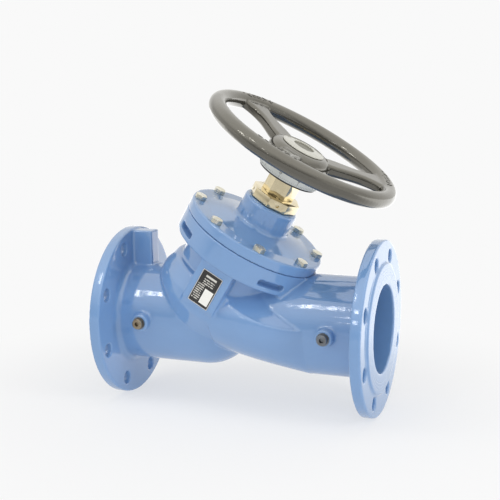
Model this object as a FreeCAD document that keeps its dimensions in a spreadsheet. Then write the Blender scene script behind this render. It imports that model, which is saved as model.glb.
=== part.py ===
import FreeCAD, Part
import math
import os
import re
import Sketcher
from FreeCAD import Placement, Rotation, Vector

# Double regulating valve, DN125, flanged, with a slanted stem.
# The origin is the centre of the inlet contact face, +X runs along the pipe to the
# outlet, +Z is up, and the stem leans towards the outlet in the XZ plane.
# Places along the stem are measured from the point where its axis crosses the pipe axis.

doc = FreeCAD.newDocument("double_regulating_valve")
sizes = doc.addObject("Spreadsheet::Sheet", "Sizes")

driving_sizes = {
    # Pipe ends
    "face_to_face": 400.0,
    "flange_dia": 250.0,
    "flange_rim": 16.0,
    "raised_face_edge": 33.0,
    "raised_face_step": 3.0,
    "flange_bolt_edge": 20.0,
    "flange_hole_dia": 19.0,
    "flange_hole_count": 8,
    "bore_dia": 125.0,
    "bore_mouth": 30.0,
    "bore_draft": 0.5,
    "casting_wall": 9.0,
    "flange_fillet": 8.0,
    "edge_round": 1.5,
    # Stem axis
    "stem_offset": 136.0,
    "stem_angle": 60.0,
    # Body chamber
    "belly_foot_level": -4.0,
    "belly_foot_dia": 142.0,
    "belly_dia": 190.0,
    "belly_widest": 30.0,
    "belly_straight": 15.0,
    "belly_curve": 20.0,
    "belly_top": 72.0,
    "belly_top_dia": 172.0,
    "belly_round": 8.0,
    "duct_start": 34.0,
    "duct_half_width": 89.0,
    "duct_half_height": 61.5,
    "duct_centre_rise": 18.0,
    "duct_end": 300.0,
    "duct_end_rise": 0.6,
    "duct_shoulder": 268.0,
    "duct_shoulder_width": 84.0,
    "duct_shoulder_height": 69.0,
    "duct_shoulder_rise": 3.5,
    "ridge_level": 66.0,
    "ridge_place": 95.0,
    "ridge_reach": 84.0,
    "ridge_height": 25.7,
    "ridge_fall": 23.5,
    "ridge_lean": 38.7,
    "ridge_overlap": 6.0,
    "partition_level": 24.0,
    "neck_bore": 142.0,
    "neck_wall": 8.5,
    # Body flange under the bonnet
    "joint_level": 138.8,
    "bonnet_dia": 207.6,
    "body_ring_depth": 34.0,
    "body_ring_round": 3.0,
    "ring_fillet": 6.0,
    "window_width": 42.0,
    "window_height": 9.0,
    "window_depth": 13.0,
    "window_sill": 8.0,
    # Bonnet
    "gasket_thick": 0.6,
    "gasket_clearance": 3.5,
    "bonnet_rim": 15.4,
    "bonnet_crown_dia": 160.0,
    "bonnet_crown_rise": 8.0,
    "bonnet_neck_dia": 80.6,
    "bonnet_neck_top": 197.0,
    "bonnet_neck_round": 5.0,
    "bonnet_spigot": 8.0,
    "bonnet_bolt_edge": 10.3,
    "bonnet_bolt_dia": 10.0,
    "bonnet_bolt_count": 8,
    "bonnet_bolt_head": 6.4,
    "bonnet_bolt_flats": 15.0,
    "bonnet_bolt_reach": 22.0,
    # Fits
    "fit_gap": 0.03,
    "running_gap": 0.05,
    "free_gap": 0.4,
    "hex_chamfer": 1.0,
    # Seat and disc
    "seat_level": 30.0,
    "seat_bore": 120.0,
    "seat_wall": 8.0,
    "seat_lip": 3.0,
    "seat_lip_height": 4.0,
    "seat_depth": 8.0,
    "seat_boss_wall": 7.0,
    "seal_width": 10.0,
    "seal_thick": 6.0,
    "disc_skirt": 2.5,
    "disc_thick": 14.0,
    "plug_gap": 4.0,
    "plug_length": 24.0,
    "plug_taper": 10.0,
    # Stem and carrier
    "stem_dia": 22.0,
    "stem_foot": 72.0,
    "carrier_dia": 44.0,
    "carrier_top": 112.0,
    "carrier_spigot_dia": 34.0,
    "carrier_thread_dia": 20.0,
    "carrier_bore_foot": 28.0,
    "carrier_washer_thick": 2.5,
    "carrier_nut_flats": 30.0,
    "carrier_nut_height": 8.0,
    "guide_wall": 9.0,
    "guide_key_width": 6.0,
    "guide_key_stand": 3.0,
    "guide_key_length": 18.0,
    "guide_foot": 94.0,
    "web_top": 168.0,
    "web_thick": 10.0,
    "bush_wall": 3.0,
    "thrust_ring_thick": 3.0,
    "stem_collar_dia": 38.0,
    "stem_collar_thick": 8.0,
    "gland_bore": 48.0,
    "gland_ring_section": 2.0,
    "packing_width": 6.0,
    "packing_ring_thick": 4.0,
    "packing_ring_count": 3,
    "packing_floor": 10.0,
    "follower_thick": 4.0,
    "upper_stem_dia": 20.0,
    # Gland
    "collar_corner_dia": 73.0,
    "collar_height": 13.0,
    "collar_gap": 1.5,
    "collar_hole_dia": 4.5,
    "collar_hole_depth": 5.0,
    "collar_turn": 27.6,
    "gland_nut_flats": 41.5,
    "gland_nut_height": 28.0,
    "gland_nut_turn": 12.6,
    # Scale drum and handwheel
    "drum_dia": 90.8,
    "drum_height": 13.6,
    "drum_wall": 4.0,
    "drum_level": 244.4,
    "drum_seal_thick": 2.4,
    "drum_seal_dia": 87.0,
    "hub_dia": 94.0,
    "hub_height": 30.0,
    "hub_round": 14.0,
    "hub_floor": 10.0,
    "hub_seat_dia": 18.0,
    "hub_sleeve_wall": 7.0,
    "hub_recess_dia": 60.0,
    "rim_dia": 269.2,
    "rim_section": 24.0,
    "rim_level": 289.0,
    "spoke_width": 27.0,
    "spoke_flare": 78.0,
    "spoke_thick": 17.0,
    "spoke_corner": 5.0,
    "spoke_count": 3,
    "spoke_hub_level": 277.0,
    "wheel_thread_dia": 15.0,
    "wheel_washer_thick": 2.5,
    "wheel_nut_flats": 24.0,
    "wheel_nut_height": 8.0,
    "wheel_key_width": 5.0,
    "wheel_key_depth": 2.2,
    "wheel_thread_top": 280.0,
    "cap_dia": 64.0,
    "cap_thick": 3.0,
    "cap_skirt": 7.0,
    "cap_crown": 1.4,
    "access_dia": 31.0,
    "access_sink": 1.6,
    # Setting spindle
    "setting_dia": 9.0,
    "setting_top": 274.0,
    "setting_foot": 74.0,
    "setting_socket": 5.0,
    "setting_socket_depth": 8.0,
    "setting_ring_level": 262.0,
    "setting_ring_section": 1.8,
    # Nameplate
    "plate_length": 51.0,
    "plate_width": 32.0,
    "plate_thick": 0.8,
    "plate_level": 69.0,
    "panel_width": 52.0,
    "panel_reach": 97.0,
    "panel_foot": 34.0,
    # Test points
    "inlet_tap_place": 61.5,
    "outlet_tap_place": 335.0,
    "tap_boss_dia": 26.0,
    "tap_boss_reach": 84.0,
    "tap_thread_dia": 13.0,
    "tap_washer_thick": 1.5,
    "tap_head_dia": 15.0,
    "tap_head_height": 6.0,
    "tap_socket": 6.0,
    "tap_shank_length": 18.0,
    # Lug behind the inlet flange
    "lug_length": 31.0,
    "lug_width": 24.0,
    "lug_height": 122.0,
}

for row, (name, value) in enumerate(driving_sizes.items(), start=1):
    sizes.set("A%d" % row, name)
    sizes.set("B%d" % row, "%g" % value)
    sizes.setAlias("B%d" % row, name)
doc.recompute()

ALIAS = re.compile(r"\b([a-z]+(?:_[a-z]+)+)\b")
kept = {}


def bound(formula):
    """A formula in size names, as an expression that reads the sheet."""
    return ALIAS.sub(r"Sizes.\1", formula)


def on_stem(turn=0.0):
    """Local Z along the stem, local X towards the outlet, turned about the stem."""
    lean = Rotation(Vector(0, 1, 0), 90.0 - sizes.stem_angle)
    return Placement(Vector(sizes.stem_offset, 0, 0), lean * Rotation(Vector(0, 0, 1), turn))


def on_pipe():
    """Local Z along the pipe from the inlet face, local X downwards."""
    return Placement(Vector(0, 0, 0), Rotation(Vector(0, 1, 0), 90))


def on_tap(place):
    """Local Z out of the pipe towards the front, at a place along the pipe."""
    return Placement(Vector(place, 0, 0), Rotation(Vector(1, 0, 0), 90))


def plane_of(body, role):
    for feature in body.Origin.OriginFeatures:
        if feature.Role == role:
            return feature
    raise RuntimeError("no plane " + role)


def new_body(label, place):
    body = doc.addObject("PartDesign::Body", label)
    body.Label = label
    body.Placement = place
    return body


def new_sketch(body, plane, level=None):
    """A sketch on one of the body's own origin planes, or level with it."""
    sketch = body.newObject("Sketcher::SketchObject", "outline")
    sketch.AttachmentSupport = [(plane_of(body, plane), "")]
    sketch.MapMode = "FlatFace"
    sketch.Visibility = False
    if level:
        sketch.setExpression("AttachmentOffset.Base.z", bound(level))
    return sketch


def closed_outline(sketch, outline):
    """A closed run of straight lines whose corners are bound to the sheet."""
    count = len(outline)
    first = sketch.GeometryCount
    rough = [Vector(10 * math.cos(6.28 * i / count), 10 * math.sin(6.28 * i / count), 0)
             for i in range(count)]
    for i in range(count):
        sketch.addGeometry(Part.LineSegment(rough[i], rough[(i + 1) % count]), False)
    for i in range(count):
        after = first + (i + 1) % count
        sketch.addConstraint(Sketcher.Constraint("Coincident", first + i, 2, after, 1))
    for i, corner in enumerate(outline):
        for axis, formula in zip(("DistanceX", "DistanceY"), corner):
            fixed = Sketcher.Constraint(axis, -1, 1, first + i, 1, rough[i].x if axis[-1] == "X"
                                        else rough[i].y)
            index = sketch.addConstraint(fixed)
            name = "corner_%d_%s" % (first + i, axis[-1].lower())
            sketch.renameConstraint(index, name)
            sketch.setExpression("Constraints." + name, bound(formula))


def turned(body, outline, rounds=None, cut=False):
    """Turn an outline of (radius, level) corners about local Z, then round some of them."""
    sketch = new_sketch(body, "XZ_Plane")
    closed_outline(sketch, outline)
    before = body.Shape.Volume if cut else 0.0
    kind = "PartDesign::Groove" if cut else "PartDesign::Revolution"
    turn = body.newObject(kind, "turn")
    turn.Profile = sketch
    turn.ReferenceAxis = (sketch, ["V_Axis"])
    turn.Angle = 360.0
    doc.recompute()
    if cut and not body.Shape.Volume < before:
        raise RuntimeError(body.Label + ": the groove cuts nothing")
    for radius, corners in (rounds or {}).items():
        spots = [sketch.Geometry[i].StartPoint for i in corners]
        round_circles(body, radius, [(spot.x, spot.y) for spot in spots])
    return body


def round_circles(body, radius, spots):
    """Round the circular edges that stand at the given radius and level."""
    names = []
    solid = body.Tip
    for number, edge in enumerate(solid.Shape.Edges, start=1):
        if not isinstance(edge.Curve, Part.Circle):
            continue
        centre = edge.Curve.Center
        for spot in spots:
            if abs(edge.Curve.Radius - spot[0]) < 0.001 and abs(centre.z - spot[1]) < 0.001:
                names.append("Edge%d" % number)
    if len(names) < len(spots):
        raise RuntimeError(body.Label + ": an edge to round is missing")
    fillet = body.newObject("PartDesign::Fillet", "round")
    fillet.Base = (solid, names)
    fillet.setExpression("Radius", bound(radius))
    doc.recompute()


def turned_body(label, place, outline, rounds=None):
    return turned(new_body(label, place), outline, rounds)


def padded(body, outline, low, high, cut=False, plane="XY_Plane"):
    """A straight pad or pocket of an outline between two levels above a plane."""
    sketch = new_sketch(body, plane, low)
    closed_outline(sketch, outline)
    before = body.Shape.Volume if cut else 0.0
    pad = body.newObject("PartDesign::Pocket" if cut else "PartDesign::Pad", "pad")
    pad.Profile = sketch
    pad.setExpression("Length", bound("(%s) - (%s)" % (high, low)))
    pad.Reversed = cut
    doc.recompute()
    if cut and not body.Shape.Volume < before:
        raise RuntimeError(body.Label + ": the pocket cuts nothing")
    return body


def polygon(sides, corner_radius, turn):
    """The corners of a regular polygon, as formulas, its first corner at the given turn."""
    step = 360.0 / sides
    return [("(%s) * cos(%g + (%s))" % (corner_radius, i * step, turn),
             "(%s) * sin(%g + (%s))" % (corner_radius, i * step, turn)) for i in range(sides)]


def box_outline(low_x, high_x, low_y, high_y):
    return [(low_x, low_y), (high_x, low_y), (high_x, high_y), (low_x, high_y)]


def hole_ring(body, circle_dia, hole_dia, count, start, top, depth):
    """Round holes on a circle about local Z, down from a level to a depth."""
    sketch = new_sketch(body, "XY_Plane", top)
    sketch.addGeometry(Part.Circle(Vector(10, 10, 0), Vector(0, 0, 1), 2.0), False)
    for kind, turn in (("DistanceX", "cos"), ("DistanceY", "sin")):
        index = sketch.addConstraint(Sketcher.Constraint(kind, -1, 1, 0, 3, 10.0))
        name = "place_" + kind[-1].lower()
        sketch.renameConstraint(index, name)
        formula = "(%s) / 2 * %s(%s)" % (circle_dia, turn, start)
        sketch.setExpression("Constraints." + name, bound(formula))
    index = sketch.addConstraint(Sketcher.Constraint("Diameter", 0, 4.0))
    sketch.renameConstraint(index, "hole_dia")
    sketch.setExpression("Constraints.hole_dia", bound(hole_dia))
    doc.recompute()
    before = body.Shape.Volume
    pocket = body.newObject("PartDesign::Pocket", "hole")
    pocket.Profile = sketch
    pocket.setExpression("Length", bound(depth))
    pattern = body.newObject("PartDesign::PolarPattern", "hole_pattern")
    pattern.Originals = [pocket]
    pattern.Axis = (sketch, ["N_Axis"])
    pattern.Angle = 360.0
    pattern.setExpression("Occurrences", bound(count))
    body.Tip = pattern
    doc.recompute()
    if not body.Shape.Volume < before:
        raise RuntimeError(body.Label + ": the holes cut nothing")


def joined(kind, label, items):
    """A boolean of whole objects: Part::MultiFuse, Part::MultiCommon or Part::Cut."""
    result = doc.addObject(kind, label)
    if kind == "Part::Cut":
        result.Base, result.Tool = items
    else:
        result.Shapes = items
    # Merging faces spoils the ruled side of the duct.
    result.Refine = False
    doc.recompute()
    return result


def keep(label, item):
    """Name a finished piece, which gets a file of its own."""
    item.Label = label
    kept[label] = item


def ring_of_pieces(label, piece, places):
    """Copies of one piece at several places, kept as separate solids of one node."""
    copies = []
    for place in places:
        copy = piece.Shape.copy()
        copy.Placement = on_stem() * place
        copies.append(copy)
    group = doc.addObject("Part::Feature", label)
    group.Shape = Part.makeCompound(copies)
    keep(label, group)


def prism(body, sides, flats, turn, low, high):
    """A nut or bolt head: a polygon pad with its upper corners turned down."""
    corner = "(%s) / 2 / cos(%g)" % (flats, 180.0 / sides)
    padded(body, polygon(sides, corner, turn), low, high)
    turned(body, [(corner + " - hex_chamfer", high), (corner + " + hex_chamfer", high),
                  (corner + " + hex_chamfer", "(%s) - hex_chamfer * 1.2" % high)], cut=True)


def drilled(label, radius, length, places):
    """Cylinders at several places about the stem, to drill with."""
    drills = []
    for number, place in enumerate(places):
        drill = doc.addObject("Part::Cylinder", "%s_%d" % (label, number))
        drill.setExpression("Radius", bound(radius))
        drill.setExpression("Height", bound(length))
        drill.Placement = on_stem() * place
        drills.append(drill)
    return joined("Part::MultiFuse", label, drills)


def ring(label, inner, outer, low, high, rounds=None):
    """A plain ring about the stem between two levels."""
    outline = [(inner, low), (outer, low), (outer, high), (inner, high)]
    return turned_body(label, on_stem(), outline, rounds)


# Valve body: one iron casting

TUBE = "(bore_dia / 2 + casting_wall)"
BONNET_TOP = "(joint_level + gasket_thick + bonnet_rim)"
FLANGE_BACK = "(raised_face_step + flange_rim)"


def pipe_end(label, outer, reach, flip, end_round=None):
    """A pipe end with its flange, turned about the pipe axis."""
    def along(place):
        return "(face_to_face - %s)" % place if flip else place
    body = new_body(label, on_pipe())
    outline = [("0", along("0")), ("flange_dia / 2 - raised_face_edge", along("0")),
               ("flange_dia / 2 - raised_face_edge", along("raised_face_step")),
               ("flange_dia / 2", along("raised_face_step")),
               ("flange_dia / 2", along(FLANGE_BACK)), (outer, along(FLANGE_BACK)),
               (outer, reach), ("0", reach)]
    rounds = {"flange_fillet": [5], "edge_round": [3, 4]}
    if end_round:
        rounds[end_round] = [6]
    turned(body, outline, rounds)
    hole_ring(body, "(flange_dia - 2 * flange_bolt_edge)", "flange_hole_dia", "flange_hole_count",
              "180 / flange_hole_count", along("0") if flip else FLANGE_BACK, FLANGE_BACK)
    return body


def slanted_cut(body, level, start, far_up):
    """Cut a pipe-wise body off above or below a plane square to the stem."""
    def height(place):
        return "((%s) - ((%s) - stem_offset) * cos(stem_angle)) / sin(stem_angle)" % (level, place)
    end = "duct_end"
    edge = "flange_dia" if far_up else "-flange_dia"
    outline = [("-(%s)" % height(start), start), ("-(%s)" % height(end), end),
               ("-(%s)" % edge, end), ("-(%s)" % edge, start)]
    sketch = new_sketch(body, "XZ_Plane")
    closed_outline(sketch, outline)
    before = body.Shape.Volume
    pocket = body.newObject("PartDesign::Pocket", "slanted_cut")
    pocket.Profile = sketch
    pocket.Midplane = True
    pocket.setExpression("Length", bound("flange_dia * 2"))
    doc.recompute()
    if not body.Shape.Volume < before:
        raise RuntimeError(body.Label + ": the slanted cut cuts nothing")


def belly(label, inset):
    """The bulge about the stem, outside with no inset and inside with the wall as inset."""
    outline = [("0", "belly_foot_level + %s" % inset),
               ("belly_foot_dia / 2 - %s" % inset, "belly_foot_level + %s" % inset),
               ("belly_dia / 2 - %s" % inset, "belly_widest"),
               ("belly_dia / 2 - %s" % inset, "belly_widest + belly_straight"),
               ("belly_top_dia / 2 - %s" % inset, "belly_top - %s" % inset),
               ("0", "belly_top - %s" % inset)]
    rounds = {"belly_curve": [2, 3], "belly_round": [4]}
    return turned_body(label, on_stem(), outline, rounds)


def across_pipe(kind, label, place, rise):
    """A flat outline square to the pipe, at a place along it and a height over its axis."""
    outline = doc.addObject(kind, label)
    turn = on_pipe().Rotation * Rotation(Vector(0, 0, 1), 90)
    outline.Placement = Placement(Vector(place, 0, rise), turn)
    return outline


def ellipse_across(label, place, rise, half_width, half_height):
    outline = across_pipe("Part::Ellipse", label, place, rise)
    outline.setExpression("MajorRadius", bound(half_width))
    outline.setExpression("MinorRadius", bound(half_height))
    return outline


def lofted(label, sections, ruled):
    loft = doc.addObject("Part::Loft", label)
    loft.Sections = sections
    loft.Solid = True
    loft.Ruled = ruled
    doc.recompute()
    return loft


def half_space(label, placement):
    """A block as large as the valve, with its foot on a plane, to cut with."""
    block = doc.addObject("Part::Box", label)
    for side in ("Length", "Width", "Height"):
        block.setExpression(side, bound("face_to_face"))
    reach = sizes.face_to_face / 2
    block.Placement = placement * Placement(Vector(-reach, -reach, 0), Rotation())
    return block


DUCT_START = sizes.stem_offset + sizes.duct_start
DUCT_TIP = sizes.duct_end + sizes.edge_round / 3


def duct_skin():
    """The run from the belly down to the outlet tube, with a lean roof on each side."""
    narrow = across_pipe("Part::Circle", "duct_tip", DUCT_TIP, 0)
    narrow.setExpression("Radius", bound(TUBE + " + duct_end_rise"))
    loft = lofted("duct_loft", [
        ellipse_across("duct_wide", DUCT_START, sizes.duct_centre_rise, "duct_half_width",
                       "duct_half_height"),
        ellipse_across("duct_shoulder", sizes.duct_shoulder, sizes.duct_shoulder_rise,
                       "duct_shoulder_width", "duct_shoulder_height"), narrow], False)
    fall = math.radians(sizes.ridge_fall)
    lean = math.tan(math.radians(sizes.ridge_lean))
    clipped = loft
    for name, side in (("front_roof", -1), ("back_roof", 1)):
        square_to = Vector(math.sin(fall), side * lean * math.cos(fall), math.cos(fall))
        spot = Vector(sizes.stem_offset + sizes.ridge_place, side * sizes.ridge_reach,
                      sizes.ridge_height)
        roof = half_space(name, Placement(spot, Rotation(Vector(0, 0, 1), square_to)))
        clipped = joined("Part::Cut", name + "_cut", [clipped, roof])
    return clipped


def duct_hollow():
    """The way through the duct, flat-topped under the ridges."""
    narrow = across_pipe("Part::Circle", "hollow_tip", DUCT_TIP, 0)
    narrow.setExpression("Radius", bound("bore_dia / 2 - edge_round / 5"))
    loft = lofted("hollow_loft", [
        ellipse_across("hollow_wide", DUCT_START, sizes.duct_centre_rise,
                       "duct_half_width - casting_wall", "duct_half_height - casting_wall"),
        narrow], True)
    level = Placement(Vector(0, 0, sizes.ridge_level - sizes.casting_wall), Rotation())
    return joined("Part::Cut", "hollow_cut", [loft, half_space("hollow_top", on_stem() * level)])


def stem_cylinder(label, radius, low, high):
    """A plain cylinder about the stem between two levels."""
    return turned_body(label, on_stem(), box_outline("0", radius, low, high))


inlet_side = pipe_end("inlet_side", TUBE, "stem_offset + " + TUBE, False,
                      TUBE + " - raised_face_step")
partition_start = ("(stem_offset - (belly_dia - casting_wall) / 2 * sin(stem_angle)"
                   " + partition_level * cos(stem_angle))")
slanted_cut(inlet_side, "partition_level", partition_start, True)
inlet_void = turned_body("inlet_void", on_pipe(),
                         [("0", "-casting_wall"), ("bore_dia / 2", "-casting_wall"),
                          ("bore_dia / 2", "bore_mouth"),
                          ("bore_dia / 2 - bore_draft", "stem_offset + bore_dia / 2"),
                          ("0", "stem_offset + bore_dia / 2")],
                         {"bore_dia / 2 - raised_face_step": [3]})
slanted_cut(inlet_void, "partition_level - casting_wall", "raised_face_step", True)

outlet_side = pipe_end("outlet_side", TUBE, "stem_offset", True)
slanted_cut(outlet_side, "ridge_level - ridge_overlap", "stem_offset - casting_wall", False)
outlet_void = turned_body("outlet_void", on_pipe(),
                          [("0", "stem_offset"), ("bore_dia / 2 - bore_draft", "stem_offset"),
                           ("bore_dia / 2", "face_to_face - bore_mouth"),
                           ("bore_dia / 2", "face_to_face + casting_wall"),
                           ("0", "face_to_face + casting_wall")])
slanted_cut(outlet_void, "ridge_level - casting_wall - ridge_overlap",
            "stem_offset - casting_wall", False)

body_neck = turned_body("body_neck", on_stem(),
                        [("0", "belly_widest"),
                         ("neck_bore / 2 + neck_wall", "belly_widest"),
                         ("neck_bore / 2 + neck_wall", "joint_level - body_ring_depth"),
                         ("bonnet_dia / 2", "joint_level - body_ring_depth"),
                         ("bonnet_dia / 2", "joint_level"), ("0", "joint_level")],
                        {"ring_fillet": [2], "body_ring_round": [3]})
seat_boss = stem_cylinder("seat_boss", "seat_bore / 2 + seat_wall + seat_boss_wall", "0",
                          "seat_level - seat_lip_height")
seat_hole = turned_body("seat_hole", on_stem(),
                        [("0", "0"), ("bore_dia / 2", "0"),
                         ("bore_dia / 2", "seat_level - seat_lip_height - seat_depth"),
                         ("seat_bore / 2 + seat_wall + fit_gap",
                          "seat_level - seat_lip_height - seat_depth"),
                         ("seat_bore / 2 + seat_wall + fit_gap", "seat_level"),
                         ("0", "seat_level")])

windows = []
for number in range(4):
    window = doc.addObject("Part::Box", "window_%d" % number)
    window.setExpression("Length", bound("window_depth + body_ring_round"))
    window.setExpression("Width", bound("window_width"))
    window.setExpression("Height", bound("window_height"))
    corner = Vector(sizes.bonnet_dia / 2 - sizes.window_depth, -sizes.window_width / 2,
                    sizes.joint_level - sizes.body_ring_depth + sizes.window_sill)
    window.Placement = on_stem(45 + 90 * number) * Placement(corner, Rotation())
    doc.recompute()
    ends = [i for i, edge in enumerate(window.Shape.Edges, start=1)
            if abs(edge.Length - window.Length.Value) < 0.001]
    soft_window = doc.addObject("Part::Fillet", "soft_window_%d" % number)
    soft_window.Base = window
    radius = sizes.window_height * 0.45
    soft_window.Edges = [(i, radius, radius) for i in ends]
    windows.append(soft_window)

panel = new_body("panel", on_stem())
panel_sketch = new_sketch(panel, "YZ_Plane")
closed_outline(panel_sketch,
               [("-neck_bore / 2", "panel_foot"), ("-belly_dia / 2 + 2 * edge_round", "panel_foot"),
                ("-panel_reach", "panel_foot + casting_wall"),
                ("-panel_reach", "joint_level - body_ring_depth + body_ring_round"),
                ("-neck_bore / 2", "joint_level - body_ring_depth + body_ring_round")])
panel_pad = panel.newObject("PartDesign::Pad", "pad")
panel_pad.Profile = panel_sketch
panel_pad.Midplane = True
panel_pad.setExpression("Length", bound("panel_width"))
doc.recompute()

lug = new_body("lug", Placement())
padded(lug, box_outline("raised_face_step + edge_round", FLANGE_BACK + " + lug_length",
                        "-lug_width / 2", "lug_width / 2"), "bore_dia / 2 + casting_wall / 2",
       "lug_height")

bosses = []
tap_holes = []
for name, place in (("inlet_tap", sizes.inlet_tap_place), ("outlet_tap", sizes.outlet_tap_place)):
    bosses.append(turned_body(name + "_boss", on_tap(place),
                              box_outline("0", "tap_boss_dia / 2", "bore_dia / 2 + edge_round",
                                          "tap_boss_reach"), {"edge_round": [2]}))
    tap_holes.append(turned_body(name + "_hole", on_tap(place),
                                 box_outline("0", "tap_thread_dia / 2 + fit_gap",
                                             "bore_dia / 2 - casting_wall",
                                             "tap_boss_reach + edge_round")))

chamber_bore = stem_cylinder("chamber_bore", "neck_bore / 2", "belly_widest",
                             "joint_level + edge_round")
outlet_skin = joined("Part::MultiFuse", "outlet_skin",
                     [belly("belly_skin", "0"), duct_skin(), outlet_side, body_neck,
                      panel])
outlet_hollow = joined("Part::MultiFuse", "outlet_hollow",
                       [belly("belly_hollow", "casting_wall"), duct_hollow(),
                        outlet_void, chamber_bore])
outlet_shell = joined("Part::Cut", "outlet_shell", [outlet_skin, outlet_hollow])
whole_casting = joined("Part::MultiFuse", "whole_casting",
                       [outlet_shell, inlet_side, seat_boss, lug] + bosses)
hollows = joined("Part::MultiFuse", "hollows", [inlet_void, seat_hole])
bolt_spots = []
for number in range(sizes.bonnet_bolt_count):
    turn = Rotation(Vector(0, 0, 1), (number + 0.5) * 360.0 / sizes.bonnet_bolt_count)
    reach = Vector(sizes.bonnet_dia / 2 - sizes.bonnet_bolt_edge, 0, 0)
    bolt_spots.append(Placement(Vector(), turn) * Placement(reach, Rotation()))
hole_foot = sizes.joint_level - sizes.bonnet_bolt_reach - sizes.edge_round
bolt_holes = drilled("bolt_holes", "bonnet_bolt_dia / 2 + fit_gap",
                     "bonnet_bolt_reach + 2 * edge_round",
                     [spot * Placement(Vector(0, 0, hole_foot), Rotation())
                      for spot in bolt_spots])
# The top of the outlet tube is cut back where it would reach under the bonnet's rim.
bonnet_clearance = stem_cylinder("bonnet_clearance", "bonnet_dia / 2 + free_gap", "joint_level",
                                 "joint_level + bonnet_rim")
casting_cuts = joined("Part::MultiFuse", "casting_cuts",
                      tap_holes + windows + [bolt_holes, bonnet_clearance])
bored_casting = joined("Part::Cut", "bored_casting", [whole_casting, hollows])
valve_body = joined("Part::Cut", "valve_body", [bored_casting, casting_cuts])
keep("valve_body", valve_body)

# Seat ring, pressed into the partition

SEAT_RIM = "(seat_bore / 2 + seat_wall)"
SEAT_FOOT = "(seat_level - seat_lip_height - seat_depth)"
keep("seat_ring", turned_body(
    "seat_ring", on_stem(),
    [("seat_bore / 2", SEAT_FOOT), (SEAT_RIM, SEAT_FOOT),
     (SEAT_RIM, "seat_level - seat_lip_height"),
     (SEAT_RIM + " + seat_lip", "seat_level - seat_lip_height"),
     (SEAT_RIM + " + seat_lip", "seat_level - seat_lip_height / 2"),
     ("seat_bore / 2 + seat_wall / 2", "seat_level"), ("seat_bore / 2", "seat_level")]))

# Bonnet: cover, neck and guide sleeve in one casting

BONNET_FOOT = "(joint_level + gasket_thick)"
WEB_FOOT = "(web_top - web_thick)"
GUIDE_BORE = "(carrier_dia / 2 + running_gap)"
UNDERSIDE = "(joint_level - bonnet_spigot + edge_round)"
SPIGOT = "(neck_bore / 2 - free_gap)"
BOLT_CIRCLE = "(bonnet_dia - 2 * bonnet_bolt_edge)"
BUSH_HOLE = "(stem_dia / 2 + running_gap + bush_wall + fit_gap)"
GLAND_HOLE = "(gland_bore / 2 + fit_gap)"
bonnet = new_body("bonnet", on_stem())
turned(bonnet,
       [(GUIDE_BORE, "guide_foot"), (GUIDE_BORE + " + guide_wall", "guide_foot"),
        (GUIDE_BORE + " + guide_wall", UNDERSIDE), (SPIGOT + " - guide_wall", UNDERSIDE),
        (SPIGOT + " - guide_wall", "joint_level - bonnet_spigot"),
        (SPIGOT, "joint_level - bonnet_spigot"), (SPIGOT, BONNET_FOOT),
        ("bonnet_dia / 2", BONNET_FOOT), ("bonnet_dia / 2", BONNET_TOP),
        ("bonnet_crown_dia / 2", BONNET_TOP),
        ("bonnet_neck_dia / 2", BONNET_TOP + " + bonnet_crown_rise"),
        ("bonnet_neck_dia / 2", "bonnet_neck_top"), (GLAND_HOLE, "bonnet_neck_top"),
        (GLAND_HOLE, "web_top"), (BUSH_HOLE, "web_top"), (BUSH_HOLE, WEB_FOOT),
        (GUIDE_BORE, WEB_FOOT)],
       {"body_ring_round": [8], "bonnet_neck_round": [11], "ring_fillet": [10]})
hole_ring(bonnet, BOLT_CIRCLE, "bonnet_bolt_dia + 2 * free_gap", "bonnet_bolt_count",
          "180 / bonnet_bolt_count", BONNET_TOP, "bonnet_rim + edge_round")
for side in ("1", "-1"):
    padded(bonnet, box_outline(side + " * carrier_dia / 4",
                               side + " * (%s + guide_key_stand + free_gap)" % GUIDE_BORE,
                               "-1 * (guide_key_width / 2 + running_gap)",
                               "guide_key_width / 2 + running_gap"),
           "guide_foot - edge_round", WEB_FOOT + " - guide_wall / 2", cut=True)
keep("bonnet", bonnet)

keep("bonnet_gasket", ring("bonnet_gasket", "neck_bore / 2 + fit_gap",
                           "(%s - bonnet_bolt_dia) / 2 - gasket_clearance" % BOLT_CIRCLE,
                           "joint_level", BONNET_FOOT))

bonnet_bolt = new_body("bonnet_bolt", Placement())
turned(bonnet_bolt, box_outline("0", "bonnet_bolt_dia / 2", "joint_level - bonnet_bolt_reach",
                                BONNET_TOP + " + bonnet_bolt_head / 2"))
prism(bonnet_bolt, 6, "bonnet_bolt_flats", "0", BONNET_TOP, BONNET_TOP + " + bonnet_bolt_head")
ring_of_pieces("bonnet_bolts", bonnet_bolt,
               [spot * Placement(Vector(), Rotation(Vector(0, 0, 1), 30 + 17 * i))
                for i, spot in enumerate(bolt_spots)])

# Gland: bush, thrust rings, collar, packing and nut

STEM_BORE = "(stem_dia / 2 + running_gap)"
UPPER_BORE = "(upper_stem_dia / 2 + running_gap)"
COLLAR_FOOT = "(web_top + 2 * thrust_ring_thick + stem_collar_thick)"
PACKING_FOOT = "(%s + packing_floor)" % COLLAR_FOOT
PACKING_TOP = "(%s + packing_ring_count * packing_ring_thick)" % PACKING_FOOT
CHAMBER = "(upper_stem_dia / 2 + packing_width)"
OCTAGON_FOOT = "(bonnet_neck_top + collar_gap)"
OCTAGON_TOP = "(%s + collar_height)" % OCTAGON_FOOT
RING_PLACE = "(web_top + 2 * thrust_ring_thick + stem_collar_thick + packing_floor / 2)"
keep("stem_bush", ring("stem_bush", STEM_BORE, STEM_BORE + " + bush_wall", WEB_FOOT, "web_top"))
keep("lower_thrust_ring", ring("lower_thrust_ring", STEM_BORE, "gland_bore / 2", "web_top",
                               "web_top + thrust_ring_thick"))
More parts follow.
